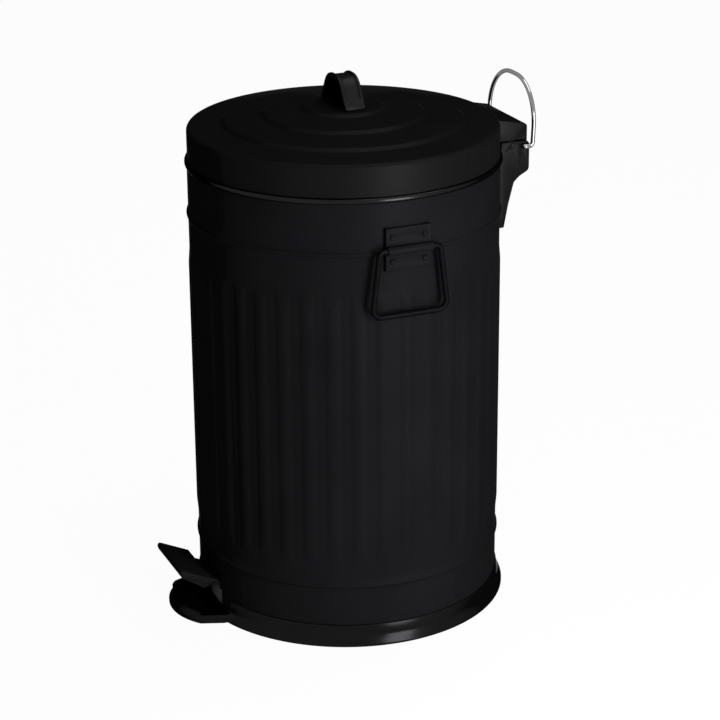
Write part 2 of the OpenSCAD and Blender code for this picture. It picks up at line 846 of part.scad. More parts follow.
module hinge_bracket() {
    color("#19191a") difference() {
        union() {
            difference() {
                along_x(-bracket_half, bracket_half) polygon(rounded(bracket_outline(0)));
                along_x(-cheek_in, cheek_in) polygon(rounded(bracket_outline(bracket_t)));
                translate([-cheek_in, 0, nest_z]) cube([2 * cheek_in, 2 * body_r, body_r]);
            }
            mirrored_x()
                pin_y(body_r - inner_reach, body_r + boss_out, bracket_screw_x, bracket_screw_z, boss_r);
            along_x(-rib_half, rib_half) polygon([
                [body_r - inner_reach, hinge_z - bracket_box_drop - 6],
                [body_r + bracket_neck - rib_half / 2, hinge_z - bracket_box_drop - 6],
                [body_r + bracket_shin - rib_half, hinge_z - bracket_shin_drop + 2],
                [body_r - inner_reach, hinge_z - bracket_shin_drop + 2],
            ]);
        }
        body_envelope();
        pin_x(-body_r, body_r, hinge_y, hinge_z, hinge_pin_r + run_fit);
        pin_x(-body_r, body_r, bail_y, bail_z, bail_wire_r + run_fit);
        mirrored_x() pin_y(0, body_r + screw_bite, bracket_screw_x, bracket_screw_z, screw_r);
    }
}

module bracket_screws() {
    head_y = sqrt(inner_r * inner_r - pow(bracket_screw_x + 2 * screw_r, 2));
    color("#8d8f93") mirrored_x() {
        pin_y(head_y - screw_head_h, head_y, bracket_screw_x, bracket_screw_z, 2 * screw_r);
        pin_y(head_y, body_r + screw_bite, bracket_screw_x, bracket_screw_z, screw_r);
    }
}

module hinge_pin() {
    color("#c2c4c7") pin_x(-bracket_half, bracket_half, hinge_y, hinge_z, hinge_pin_r);
}

// ---------- lid ----------

// Top line of the lid from its edge to its middle, lowered by the given depth
function lid_line(depth) = concat(
    [for (i = [0:len(step_radii) - 1]) each [
        [step_radii[i] + step_run, lid_step_z[i] - step_rise - depth],
        [step_radii[i], lid_step_z[i] - depth],
    ]],
    [[crown_flat_r, lid_seat_z + crown_rise - depth], [0, lid_seat_z + crown_rise - depth]]
);

function reversed(list) = [for (i = [len(list) - 1:-1:0]) list[i]];

module lid_section() {
    outside = concat([[lid_r, lid_low_z]],
                     corner_arc([lid_r, lid_low_z], [lid_r, lid_edge_z],
                                [step_radii[0], lid_edge_z], lid_edge_r),
                     lid_line(0));
    inside = concat([[lid_in_r, lid_low_z]],
                    corner_arc([lid_in_r, lid_low_z], [lid_in_r, lid_edge_z - sheet],
                               [step_radii[0], lid_edge_z - sheet], lid_edge_r - sheet),
                    lid_line(sheet));
    polygon(concat(outside, reversed(inside)));
}

module lid_shell() {
    color("#151516") difference() {
        rotate_extrude() lid_section();
        mirrored_x() pin_y(0, body_r, block_screw_x, block_screw_z, screw_r + run_fit);
        mirrored_x() translate([grip_screw_x, 0, lid_low_z]) cylinder(h = body_r, r = screw_r + run_fit);
    }
}

module lid_hinge_block() {
    color("#1f1f20") difference() {
        union() {
            along_x(-block_half, block_half) polygon(rounded([
                [body_r - inner_reach, seam_z + seam_gap, 0],
                [block_rear_y, seam_z + seam_gap, 2.2],
                [block_rear_y, seam_z + block_rear_h, 3.5],
                [body_r - inner_reach, lid_edge_z - cut, 0],
            ]));
            pin_x(-block_half, block_half, hinge_y, hinge_z, knuckle_r);
            along_x(-block_half, block_half) polygon([
                [hinge_y - knuckle_r * 0.8, seam_z + block_lap],
                [hinge_y - knuckle_r * 0.8, hinge_z + knuckle_r * 0.6],
                [hinge_y + knuckle_r * 0.8, hinge_z + knuckle_r * 0.6],
                [hinge_y + knuckle_r * 0.8, seam_z + block_lap],
            ]);
            along_x(-block_half, block_half) polygon([
                [block_rear_y - block_tail_t, seam_z + 2 * block_lap],
                [block_rear_y - block_tail_t, block_tail_z],
                [block_rear_y, block_tail_z],
                [block_rear_y, seam_z + 2 * block_lap],
            ]);
        }
        cylinder(h = 2 * body_top, r = lid_r, $fn = round_fn);
        translate([-body_r, 0, lid_edge_z - block_lap]) cube([2 * body_r, 2 * body_r, body_r]);
        pin_x(-body_r, body_r, hinge_y, hinge_z, hinge_pin_r + run_fit);
        mirrored_x() pin_y(0, body_r + block_screw_bite, block_screw_x, block_screw_z, screw_r);
    }
}

module lid_block_screws() {
    head_y = sqrt(pow(lid_in_r - crank_plate_t, 2) - pow(block_screw_x + pan_head_r, 2));
    color("#8d8f93") mirrored_x() {
        pin_y(head_y - screw_head_h, head_y, block_screw_x, block_screw_z, pan_head_r);
        pin_y(head_y, body_r + block_screw_bite, block_screw_x, block_screw_z, screw_r);
    }
}

// The crank: a plate inside the lid's skirt and an arm that reaches down past the rim to the rod
module lid_crank() {
    slot_half = rod_r + crank_play;
    rim_clear_y = wall_mid_r - rim_r - cut;
    slot_way = unit([crank_back, crank_drop]) * (norm([crank_back, crank_drop]) - crank_back);
    color("#a4a6a9") difference() {
        union() {
            intersection() {
                tube(crank_low, crank_high, lid_in_r, lid_in_r - crank_plate_t);
                translate([-crank_plate_half, 0, 0]) cube([2 * crank_plate_half, body_r, 2 * body_top]);
            }
            along_x(eye_x, eye_x + crank_t) difference() {
                union() {
                    polygon([
                        [lid_in_r - crank_plate_t / 2, crank_high],
                        [lid_in_r - crank_plate_t / 2, crank_low + cut],
                        [rim_clear_y, lid_low_z + crank_plate_t],
                        [rim_clear_y, body_top - crank_t],
                        [rod_y + 2 * rod_r, rod_top_z - rod_r],
                        [rod_y - 2 * rod_r, rod_top_z + rod_r],
                        [rod_y - rod_r, lid_low_z + crank_t],
                    ]);
                    translate([rod_y, rod_top_z]) circle(rod_r + crank_eye_w);
                }
                for (way = [[0, 0], slot_way]) translate([rod_y, rod_top_z] + way) circle(slot_half);
                translate([rod_y, rod_top_z]) rotate(atan2(crank_drop, crank_back))
                    translate([0, -slot_half]) square([norm(slot_way), 2 * slot_half]);
            }
        }
        mirrored_x() pin_y(0, body_r, block_screw_x, block_screw_z, screw_r + run_fit);
    }
}

// Half width at height z of the grip's bow, and where its leg meets its top, both moved outward by out
function grip_leg_x(z, out) = grip_top_half + (grip_top_z - z) * tan(grip_lean) + out / cos(grip_lean);
function grip_top_x(out) = grip_top_half + out * tan(45 - grip_lean / 2);

// The strap lies between two raised edges, in a groove that ends above the feet
module grip_groove() {
    low = lid_seat_z + crown_rise + grip_t + grip_corner_r;
    over = grip_edge_rise + cut;
    along_y(-grip_w / 2 + grip_edge_w, grip_w / 2 - grip_edge_w) polygon(rounded([
        [grip_leg_x(low, 0), low, 0],
        [grip_top_x(0), grip_top_z, grip_bend_r],
        [-grip_top_x(0), grip_top_z, grip_bend_r],
        [-grip_leg_x(low, 0), low, 0],
        [-grip_leg_x(low, over), low, 0],
        [-grip_top_x(over), grip_top_z + over, grip_bend_r + over],
        [grip_top_x(over), grip_top_z + over, grip_bend_r + over],
        [grip_leg_x(low, over), low, 0],
    ]));
}

// The grip: one pressed strap bent to a bow, its feet turned in under it and its lower corners round
module lid_grip() {
    foot = lid_seat_z - grip_foot_sink;
    foot_top = lid_seat_z + crown_rise + grip_t;
    pad_end = grip_foot_half - grip_foot_len;
    rim = grip_edge_rise;
    side = grip_foot_half + grip_t;
    over = grip_top_z + grip_t;
    color("#232324") difference() {
        intersection() {
            along_y(-grip_w, grip_w) polygon(rounded([
                [pad_end, foot, 0],
                [grip_leg_x(foot, rim), foot, grip_foot_bend_r],
                [grip_top_x(rim), grip_top_z + rim, grip_bend_r + rim],
                [-grip_top_x(rim), grip_top_z + rim, grip_bend_r + rim],
                [-grip_leg_x(foot, rim), foot, grip_foot_bend_r],
                [-pad_end, foot, 0],
                [-pad_end, foot_top, 0],
                [-grip_leg_x(foot_top, -grip_t), foot_top, grip_foot_bend_r / 2],
                [-grip_top_x(-grip_t), grip_top_z - grip_t, grip_bend_r - grip_t],
                [grip_top_x(-grip_t), grip_top_z - grip_t, grip_bend_r - grip_t],
                [grip_leg_x(foot_top, -grip_t), foot_top, grip_foot_bend_r / 2],
                [pad_end, foot_top, 0],
            ]));
            along_x(-side, side) polygon(rounded([
                [-grip_w / 2, foot, grip_corner_r],
                [grip_w / 2, foot, grip_corner_r],
                [grip_w / 2, over, 0],
                [-grip_w / 2, over, 0],
            ]));
        }
        grip_groove();
        translate([0, 0, foot - cut]) cylinder(h = lid_seat_z - foot + cut, r = crown_half);
        translate([0, 0, lid_seat_z]) cylinder(h = crown_rise, r1 = crown_half, r2 = crown_flat_r);
        mirrored_x() translate([grip_screw_x, 0, foot - cut])
            cylinder(h = grip_screw_top - foot + cut, r = screw_r);
    }
}

module grip_screws() {
    color("#8d8f93") mirrored_x() translate([grip_screw_x, 0, 0]) {
        translate([0, 0, grip_head_z - screw_head_h]) cylinder(h = screw_head_h, r = grip_head_r);
        translate([0, 0, grip_head_z]) cylinder(h = grip_screw_top - grip_head_z, r = screw_r);
    }
}

// ---------- handles ----------

module handle_plate() {
    color("#1b1b1c") difference() {
        union() {
            translate([body_r - inner_reach, -plate_half, handle_z - plate_down])
                cube([plate_out_x - body_r + inner_reach, 2 * plate_half, plate_up + plate_down]);
            pin_y(-plate_half, plate_half, handle_x, handle_z, barrel_r);
            translate([body_r, -plate_half, handle_z])
                cube([handle_x - body_r, 2 * plate_half, barrel_r * 0.96]);
        }
        body_envelope();
        pin_y(-plate_half - cut, plate_half + cut, handle_x, handle_z, handle_wire_r + run_fit);
        rivet_holes(plate_rivet_r + run_fit);
    }
}

module handle_plate_right() {
    handle_plate();
}

module handle_plate_left() {
    mirror([1, 0, 0]) handle_plate();
}

module handle_rivets() {
    color("#252526") mirrored_x() for (y = [-rivet_y, rivet_y], z = [rivet_low_z, rivet_high_z]) {
        pin_x(inner_r - rivet_tail_h, plate_out_x, y, z, plate_rivet_r);
        translate([plate_out_x, y, z]) rotate([0, 90, 0])
            cylinder(h = rivet_head_h, r1 = rivet_r, r2 = plate_rivet_r - run_fit);
        pin_x(inner_r - rivet_tail_h, sqrt(inner_r * inner_r - pow(rivet_y + rivet_r, 2)), y, z, rivet_r);
    }
}

module side_handle() {
    color("#141415") wire([
        [handle_x, handle_split, handle_z],
        [handle_x, handle_top_half, handle_z],
        [handle_x, handle_low_half, handle_z - handle_drop],
        [handle_x, -handle_low_half, handle_z - handle_drop],
        [handle_x, -handle_top_half, handle_z],
        [handle_x, -handle_split, handle_z],
    ], handle_bends, handle_wire_r);
}

module side_handle_right() {
    side_handle();
}

module side_handle_left() {
    mirror([1, 0, 0]) side_handle();
}

module carry_bail() {
    stub = cheek_in + seat_gap;
    color("#d8dadd") translate([0, bail_y, bail_z]) rotate([-bail_lean, 0, 0]) wire([
        [stub, 0, 0],
        [bail_half, 0, 0],
        [bail_half, bail_leg_back, 0],
        [bail_half, bail_leg_back, bail_h],
        [-bail_half, bail_leg_back, bail_h],
        [-bail_half, bail_leg_back, 0],
        [-bail_half, 0, 0],
        [-stub, 0, 0],
    ], bail_bends, bail_wire_r);
}

// ---------- inner bucket ----------

module inner_bucket() {
    wall_top_r = bucket_r - bucket_flange_w;
    color("#242526") difference() {
        union() {
            rotate_extrude() polygon([
                [0, bucket_low + bucket_foot_h],
                [bucket_foot_r - bucket_foot_w, bucket_low + bucket_foot_h],
                [bucket_foot_r - bucket_foot_w, bucket_low],
                [bucket_foot_r, bucket_low],
                [wall_top_r, bucket_top - bucket_flange_t],
                [bucket_r, bucket_top - bucket_flange_t],
                [bucket_r, bucket_top],
                [wall_top_r - bucket_t, bucket_top],
                [bucket_foot_r - bucket_t + foot_draft, bucket_low + bucket_foot_h + bucket_t],
                [0, bucket_low + bucket_foot_h + bucket_t],
            ]);
            mirrored_x() along_x(lug_in, lug_out) polygon(rounded([
                [-lug_low_half, bucket_top - lug_h, lug_round],
                [lug_low_half, bucket_top - lug_h, lug_round],
                [lug_top_half, bucket_pivot_z + lug_up, lug_round],
                [-lug_top_half, bucket_pivot_z + lug_up, lug_round],
            ]));
        }
        pin_x(-body_r, body_r, 0, bucket_pivot_z, bucket_wire_r + run_fit);
    }
}

module bucket_bail() {
    stub = lug_in;
    color("#b9bbbe") wire([
        [stub, 0, bucket_pivot_z],
        [bucket_wire_x, 0, bucket_pivot_z],
        [bucket_wire_x, -bucket_wire_x, bucket_pivot_z],
        [-bucket_wire_x, -bucket_wire_x, bucket_pivot_z],
        [-bucket_wire_x, 0, bucket_pivot_z],
        [-stub, 0, bucket_pivot_z],
    ], [0, bucket_foot_bend, bucket_bend_r, bucket_bend_r, bucket_foot_bend, 0], bucket_wire_r);
}

outer_shell();
body_rim();
base_ring();
floor_pan();
pedal_bracket();
bracket_rivets();
pedal_axle();
axle_clips();
rod_guide();
hinge_bracket();
bracket_screws();
hinge_pin();
handle_plate_left();
handle_plate_right();
handle_rivets();
pedal_lever();
pedal_pad();
pad_rivets();
push_rod();
rod_clips();
lid_shell();
lid_hinge_block();
lid_block_screws();
lid_crank();
lid_grip();
grip_screws();
side_handle_left();
side_handle_right();
carry_bail();
inner_bucket();
bucket_bail();
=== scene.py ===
"""Looks of a round pedal bin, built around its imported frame: black powder-coated steel with a fluted body,
a stepped lid, wire handles, a moulded hinge and base, and a bright wire bail."""

import math

import bpy
from mathutils import Matrix, Vector


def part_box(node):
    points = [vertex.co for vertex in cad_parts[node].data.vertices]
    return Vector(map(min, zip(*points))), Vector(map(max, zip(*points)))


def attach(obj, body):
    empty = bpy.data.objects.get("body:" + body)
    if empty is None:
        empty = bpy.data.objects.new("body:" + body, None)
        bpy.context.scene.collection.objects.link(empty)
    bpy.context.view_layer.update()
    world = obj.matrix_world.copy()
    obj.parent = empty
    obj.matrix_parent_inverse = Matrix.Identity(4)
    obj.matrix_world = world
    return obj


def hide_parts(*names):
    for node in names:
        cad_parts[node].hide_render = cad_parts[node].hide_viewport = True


bl_info = {
    "name": "Pedal Bin",
    "version": (1, 0, 0),
    "blender": (4, 5, 0),
    "location": "View3D > Sidebar > Pedal Bin",
    "description": "Builds the pieces, finishes and studio of a round pedal bin around its frame",
    "category": "Object",
}

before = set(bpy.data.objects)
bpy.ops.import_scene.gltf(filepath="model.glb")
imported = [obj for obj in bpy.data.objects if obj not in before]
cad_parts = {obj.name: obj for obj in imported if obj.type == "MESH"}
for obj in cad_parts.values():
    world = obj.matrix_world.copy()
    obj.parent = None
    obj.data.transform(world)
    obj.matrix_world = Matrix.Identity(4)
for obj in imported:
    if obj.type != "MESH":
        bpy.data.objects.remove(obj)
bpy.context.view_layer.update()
MM = 0.001
# How white the floor looks to the eye, and how far from the middle the base ring stands on it.
WHITE_SHARE = 0.96
RING_REACH = 0.143

rim_low, rim_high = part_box("body_rim")
lid_low, lid_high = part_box("lid_shell")


class BinSizes(bpy.types.PropertyGroup):
    """The sizes of the pieces that are built here"""

    wall_radius: bpy.props.FloatProperty(
        name="Wall radius", description="Outside radius of the body's wall", default=0.140, unit="LENGTH",
        precision=4)
    sheet: bpy.props.FloatProperty(
        name="Sheet", description="Thickness of the steel sheet", default=0.001, unit="LENGTH", precision=4)
    flute_count: bpy.props.IntProperty(
        name="Flutes", description="Number of upright flutes around the body", default=40, min=4)
    flute_out: bpy.props.FloatProperty(
        name="Flute height", description="How far a flute stands out of the wall", default=0.0011, unit="LENGTH",
        precision=4)
    flute_round: bpy.props.FloatProperty(
        name="Flute radius", description="Radius of a flute's round section", default=0.018, unit="LENGTH",
        precision=4)
    steps_around: bpy.props.IntProperty(
        name="Steps around", description="Faces around the fluted wall", default=640, min=64)
    doorway_half: bpy.props.FloatProperty(
        name="Doorway half width", description="Half width of the pedal's doorway", default=0.028, unit="LENGTH",
        precision=4)
    doorway_top: bpy.props.FloatProperty(
        name="Doorway top", description="Height of the pedal's doorway", default=0.040, unit="LENGTH", precision=4)
    edge_round: bpy.props.FloatProperty(
        name="Edge round", description="Round on the edges of moulded pieces", default=0.0006, unit="LENGTH",
        precision=4)


class BinColours(bpy.types.PropertyGroup):
    """The colours of the finishes"""

    body: bpy.props.FloatVectorProperty(
        name="Body", description="Powder coat on the body", subtype="COLOR", default=(0.0080, 0.0077, 0.0085))
    lid: bpy.props.FloatVectorProperty(
        name="Lid", description="Powder coat on the lid", subtype="COLOR", default=(0.0078, 0.0078, 0.0082))
    enamel: bpy.props.FloatVectorProperty(
        name="Enamel", description="Gloss enamel on the rim and handles", subtype="COLOR",
        default=(0.0150, 0.0150, 0.0155))
    plastic: bpy.props.FloatVectorProperty(
        name="Plastic", description="Moulded plastic of the base and hinge", subtype="COLOR",
        default=(0.0090, 0.0090, 0.0095))
    bucket: bpy.props.FloatVectorProperty(
        name="Bucket", description="Plastic of the inner bucket", subtype="COLOR", default=(0.030, 0.030, 0.032))
    chrome: bpy.props.FloatVectorProperty(
        name="Chrome", description="Bright wire of the carry bail", subtype="COLOR", default=(0.24, 0.243, 0.247))
    zinc: bpy.props.FloatVectorProperty(
        name="Zinc", description="Plated steel of the hidden parts", subtype="COLOR", default=(0.52, 0.53, 0.55))


# ---------- shaping ----------


def clear_selection():
    """Back to object mode, with nothing selected."""
    if bpy.context.object is not None and bpy.context.object.mode != "OBJECT":
        bpy.ops.object.mode_set(mode="OBJECT")
    bpy.ops.object.select_all(action="DESELECT")


def corner_points(before, corner, after, radius, steps=5):
    """The points of a rounded corner, or the corner itself where the radius is nothing."""
    if not radius:
        return [corner]
    to_before = (before - corner).normalized()
    to_after = (after - corner).normalized()
    half = to_before.angle(to_after) / 2
    centre = corner + (to_before + to_after).normalized() * (radius / math.sin(half))
    first = corner + to_before * (radius / math.tan(half)) - centre
    last = corner + to_after * (radius / math.tan(half)) - centre
    sweep = math.atan2(first.x * last.y - first.y * last.x, first.dot(last))
    turn = [sweep * step / steps for step in range(steps + 1)]
    return [centre + Matrix.Rotation(angle, 2) @ first for angle in turn]


def rounded_line(points, closed=False):
    """An outline in metres from (radius, height, corner radius) points in millimetres."""
    flat = [Vector(p[:2]) * MM for p in points]
    line = []
    for i, point in enumerate(points):
        ends = not closed and i in (0, len(points) - 1)
        line += corner_points(flat[i - 1], flat[i], flat[(i + 1) % len(flat)], 0 if ends else point[2] * MM)
    return line


def turned(name, outline, steps, closed=False):
    """A ring drawn out from point to point of an outline of (radius, height)."""
    clear_selection()
    radius, height = outline[0]
    bpy.ops.mesh.primitive_circle_add(vertices=steps, radius=radius, location=(0, 0, height))
    piece = bpy.context.object
    piece.name = name
    bpy.ops.object.mode_set(mode="EDIT")
    bpy.ops.mesh.select_all(action="SELECT")
    for next_radius, next_height in outline[1:] + (outline[:1] if closed else []):
        bpy.ops.mesh.extrude_edges_move(TRANSFORM_OT_translate={"value": (0, 0, next_height - height)})
        grow = next_radius / radius
        bpy.ops.transform.resize(value=(grow, grow, 1), center_override=(0, 0, next_height))
        radius, height = next_radius, next_height
    bpy.ops.mesh.select_all(action="SELECT")
    bpy.ops.mesh.remove_doubles(threshold=2e-6)
    bpy.ops.mesh.normals_make_consistent(inside=False)
    bpy.ops.object.mode_set(mode="OBJECT")
    return at_origin(piece)


def at_origin(piece):
    """Puts the piece's place into its mesh."""
    clear_selection()
    piece.select_set(True)
    bpy.context.view_layer.objects.active = piece
    bpy.ops.object.transform_apply(location=True, rotation=True, scale=True)
    return piece


def close_ends(piece):
    """Fills the open ends of a piece and turns its faces outwards."""
    clear_selection()
    piece.select_set(True)
    bpy.context.view_layer.objects.active = piece
    bpy.ops.object.mode_set(mode="EDIT")
    bpy.ops.mesh.select_mode(type="VERT")
    bpy.ops.mesh.select_all(action="DESELECT")
    bpy.ops.mesh.select_non_manifold()
    bpy.ops.mesh.fill_holes(sides=0)
    bpy.ops.mesh.select_all(action="SELECT")
    bpy.ops.mesh.normals_make_consistent(inside=False)
    bpy.ops.object.mode_set(mode="OBJECT")
    return piece


def bent_wire(name, path, bends, radius, sides=20):
    """Round wire drawn along a path in metres, and spun round each of its bends."""
    clear_selection()
    points = [Vector(p) for p in path]
    ways = [(b - a).normalized() for a, b in zip(points, points[1:])]
    turns = [0.0] + [a.angle(b) for a, b in zip(ways, ways[1:])] + [0.0]
    trims = [bend * math.tan(turn / 2) for bend, turn in zip(bends, turns)]
    bpy.ops.mesh.primitive_circle_add(
        vertices=sides, radius=radius, location=points[0], rotation=ways[0].to_track_quat("Z", "Y").to_euler())
    piece = bpy.context.object
    piece.name = name
    bpy.ops.object.mode_set(mode="EDIT")
    bpy.ops.mesh.select_all(action="SELECT")
    for i, way in enumerate(ways):
        run = way * ((points[i + 1] - points[i]).length - trims[i] - trims[i + 1])
        bpy.ops.mesh.extrude_edges_move(TRANSFORM_OT_translate={"value": run})
        if turns[i + 1]:
            out_way = ways[i + 1]
            centre = points[i + 1] + (out_way - way).normalized() * (bends[i + 1] / math.cos(turns[i + 1] / 2))
            bpy.ops.mesh.spin(
                steps=max(6, math.ceil(math.degrees(turns[i + 1]) / 6)), angle=turns[i + 1], center=centre,
                axis=out_way.cross(way).normalized())
    bpy.ops.mesh.select_all(action="SELECT")
    bpy.ops.mesh.remove_doubles(threshold=2e-6)
    bpy.ops.object.mode_set(mode="OBJECT")
    return close_ends(at_origin(piece))


def merged_copy(node, name):
    """A copy of a frame node, with its triangles joined and its flat faces cleared of seams."""
    clear_selection()
    piece = bpy.data.objects.new(name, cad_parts[node].data.copy())
    bpy.context.collection.objects.link(piece)
    piece.select_set(True)
    bpy.context.view_layer.objects.active = piece
    bpy.ops.object.mode_set(mode="EDIT")
    bpy.ops.mesh.select_all(action="SELECT")
    bpy.ops.mesh.remove_doubles(threshold=5e-6)
    bpy.ops.mesh.dissolve_limited(angle_limit=math.radians(0.3))
    bpy.ops.object.mode_set(mode="OBJECT")
    return piece


def soften(piece, width, angle=35, segments=2):
    """Rounds the sharp edges of a piece."""
    clear_selection()
    piece.select_set(True)
    bpy.context.view_layer.objects.active = piece
    bevel = piece.modifiers.new("Edge round", "BEVEL")
    bevel.width = width
    bevel.segments = segments
    bevel.limit_method = "ANGLE"
    bevel.angle_limit = math.radians(angle)
    bevel.use_clamp_overlap = False
    bpy.ops.object.modifier_apply(modifier=bevel.name)
    return piece


def smooth(piece, angle=35):
    """Smooth shading, with the edges sharper than the angle kept."""
    clear_selection()
    piece.select_set(True)
    bpy.context.view_layer.objects.active = piece
    bpy.ops.object.shade_smooth_by_angle(angle=math.radians(angle))
    return piece


def fit_out(piece, material, body, slot, *nodes):
    """Gives a piece its finish and the body it moves with, and hides the frame nodes it stands for."""
    piece.data.materials.clear()
    piece.data.materials.append(material)
    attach(piece, body)
    if nodes:
        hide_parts(*nodes)
    return piece


# ---------- finishes ----------


def new_finish(slot):
    """The finish of a slot, and its node tree where it still has to be made. The frame's own has the bare name."""
    name = slot + "_finish"
    material = bpy.data.materials.get(name)
    if material is not None:
        return material, None
    material = bpy.data.materials.new(name)
    material.use_nodes = True
    return material, material.node_tree


def grain(tree, place, scale, detail=2.0, stretch=(1, 1, 1)):
    """Noise on Object coordinates, as many waves to the metre as the scale."""
    coordinates = tree.nodes.new("ShaderNodeTexCoord")
    mapping = tree.nodes.new("ShaderNodeMapping")
    mapping.inputs["Scale"].default_value = stretch
    noise = tree.nodes.new("ShaderNodeTexNoise")
    noise.inputs["Scale"].default_value = scale
    noise.inputs["Detail"].default_value = detail
    for step, part in enumerate((coordinates, mapping, noise)):
        part.location = (place[0] - 660 + 220 * step, place[1])
    tree.links.new(coordinates.outputs["Object"], mapping.inputs["Vector"])
    tree.links.new(mapping.outputs["Vector"], noise.inputs["Vector"])
    return noise.outputs["Fac"]


def spread(tree, value, low, high):
    """Maps a noise value to a range."""
    ranged = tree.nodes.new("ShaderNodeMapRange")
    ranged.inputs["From Min"].default_value = 0.3
    ranged.inputs["From Max"].default_value = 0.7
    ranged.inputs["To Min"].default_value = low
    ranged.inputs["To Max"].default_value = high
    tree.links.new(value, ranged.inputs["Value"])
    return ranged.outputs["Result"]


def tinted(tree, value, colour, low, high):
    """A colour that a noise value makes a little darker and lighter."""
    mix = tree.nodes.new("ShaderNodeMix")
    mix.data_type = "RGBA"
    mix.inputs[6].default_value = (*[c * low for c in colour], 1)
    mix.inputs[7].default_value = (*[c * high for c in colour], 1)
    tree.links.new(spread(tree, value, 0, 1), mix.inputs[0])
    return mix.outputs[2]


def bumped(tree, value, distance, under=None):
    """A normal that a noise value raises and lowers, over another normal where there is one."""
    bump = tree.nodes.new("ShaderNodeBump")
    bump.inputs["Strength"].default_value = 1.0
    bump.inputs["Distance"].default_value = distance
    tree.links.new(value, bump.inputs["Height"])
    if under is not None:
        tree.links.new(under, bump.inputs["Normal"])
    return bump.outputs["Normal"]


def satin_black(shader, gloss):
    """A dark surface whose sheen stays low at its edges. More gloss gives clearer reflections."""
    shader.inputs["Metallic"].default_value = gloss
    shader.inputs["Specular IOR Level"].default_value = 0
    shader.inputs["Specular Tint"].default_value = (0, 0, 0, 1)


def painted(name, colour, roughness, gloss, peel=0.00002):
    """Baked paint: a fine orange peel, slight clouding, and roughness that wanders a little."""
    material, tree = new_finish(name)
    if tree is None:
        return material
    shader = tree.nodes["Principled BSDF"]
    satin_black(shader, gloss)
    clouds = grain(tree, (-500, 300), 14, 3)
    fine = grain(tree, (-500, 0), 900, 2)
    broad = grain(tree, (-500, -300), 160, 2)
    tree.links.new(tinted(tree, clouds, colour, 0.9, 1.1), shader.inputs["Base Color"])
    tree.links.new(spread(tree, broad, roughness * 0.94, roughness * 1.06), shader.inputs["Roughness"])
    normal = bumped(tree, fine, peel)
    tree.links.new(bumped(tree, broad, peel * 1.5, under=normal), shader.inputs["Normal"])
    return material


def moulded(name, colour, roughness, gloss, texture=0.00001):
    """Moulded plastic: a spark-eroded texture and faint flow lines."""
    material, tree = new_finish(name)
    if tree is None:
        return material
    shader = tree.nodes["Principled BSDF"]
    satin_black(shader, gloss)
    flow = grain(tree, (-500, 300), 26, 4, (1, 1, 3))
    fine = grain(tree, (-500, 0), 1600, 3)
    tree.links.new(tinted(tree, flow, colour, 0.92, 1.1), shader.inputs["Base Color"])
    tree.links.new(spread(tree, flow, roughness * 0.9, roughness * 1.1), shader.inputs["Roughness"])
    tree.links.new(bumped(tree, fine, texture), shader.inputs["Normal"])
    return material


def plated(name, colour, roughness, drawn=(1, 1, 1), mottle=0.12):
    """Bare or plated metal: drawing lines along one way and a mottled sheen."""
    material, tree = new_finish(name)
    if tree is None:
        return material
    shader = tree.nodes["Principled BSDF"]
    shader.inputs["Metallic"].default_value = 1.0
    shader.inputs["Specular Tint"].default_value = (0.35, 0.35, 0.36, 1)
    lines = grain(tree, (-500, 0), 500, 3, drawn)
    patches = grain(tree, (-500, 300), 90, 3)
    tree.links.new(tinted(tree, patches, colour, 1 - mottle, 1 + mottle / 2), shader.inputs["Base Color"])
    tree.links.new(spread(tree, lines, roughness * 0.75, roughness * 1.25), shader.inputs["Roughness"])
    tree.links.new(bumped(tree, lines, 0.000006), shader.inputs["Normal"])
    return material


def finish_of(slot):
    """The finish of each material slot."""
    colours = bpy.context.scene.bin_colours
    body, lid, enamel = colours.body, colours.lid, colours.enamel
    plastic, bucket, chrome, zinc = colours.plastic, colours.bucket, colours.chrome, colours.zinc
    makers = {
        "body_paint": lambda: painted("body_paint", body, 0.50, 0.2),
        "lid_paint": lambda: painted("lid_paint", lid, 0.46, 0.32),
        "rim_paint": lambda: painted("rim_paint", enamel, 0.19, 0.9),
        "grip_paint": lambda: painted("grip_paint", enamel, 0.44, 0.6),
        "plate_paint": lambda: painted("plate_paint", body, 0.50, 0.2),
        "wire_paint": lambda: painted("wire_paint", [c * 0.55 for c in body], 0.40, 0.5),
        "pan_paint": lambda: painted("pan_paint", enamel, 0.60, 0.4),
        "base_plastic": lambda: moulded("base_plastic", plastic, 0.20, 0.8),
        "hinge_plastic": lambda: moulded("hinge_plastic", plastic, 0.42, 0.5),
        "pedal_plastic": lambda: moulded("pedal_plastic", plastic, 0.46, 0.2),
        "black_plastic": lambda: moulded("black_plastic", plastic, 0.50, 0.4),
        "bucket_plastic": lambda: moulded("bucket_plastic", bucket, 0.55, 0.1),
        "zinc_steel": lambda: plated("zinc_steel", zinc, 0.36),
        "spring_steel": lambda: plated("spring_steel", (0.30, 0.31, 0.32), 0.34),
        "black_steel": lambda: painted("black_steel", enamel, 0.50, 0.4),
        "chrome_wire": lambda: plated("chrome_wire", chrome, 0.12, (1, 1, 0.1), 0.04),
        "bucket_wire": lambda: plated("bucket_wire", (0.66, 0.67, 0.68), 0.22, (1, 1, 0.1), 0.06),
    }
    return makers[slot]()


# ---------- pieces ----------


def flute_height(angle, height, sizes):
    """How far the wall stands out at an angle in radians and a height in metres."""
    pitch = 2 * math.pi / sizes.flute_count
    off = (angle + pitch / 2) % pitch - pitch / 2
    centre = sizes.wall_radius + sizes.flute_out - sizes.flute_round
    out = centre * math.cos(off) + math.sqrt(sizes.flute_round ** 2 - (centre * math.sin(off)) ** 2)
    low, high, run = 72 * MM, 338 * MM, 22 * MM
    overshoot, sink = 0.8 * MM, 0.4 * MM
    ramp = (min(height - low, high - height) / run) * (sizes.flute_out + overshoot) - sink
    return max(0.0, min(out - sizes.wall_radius, ramp))


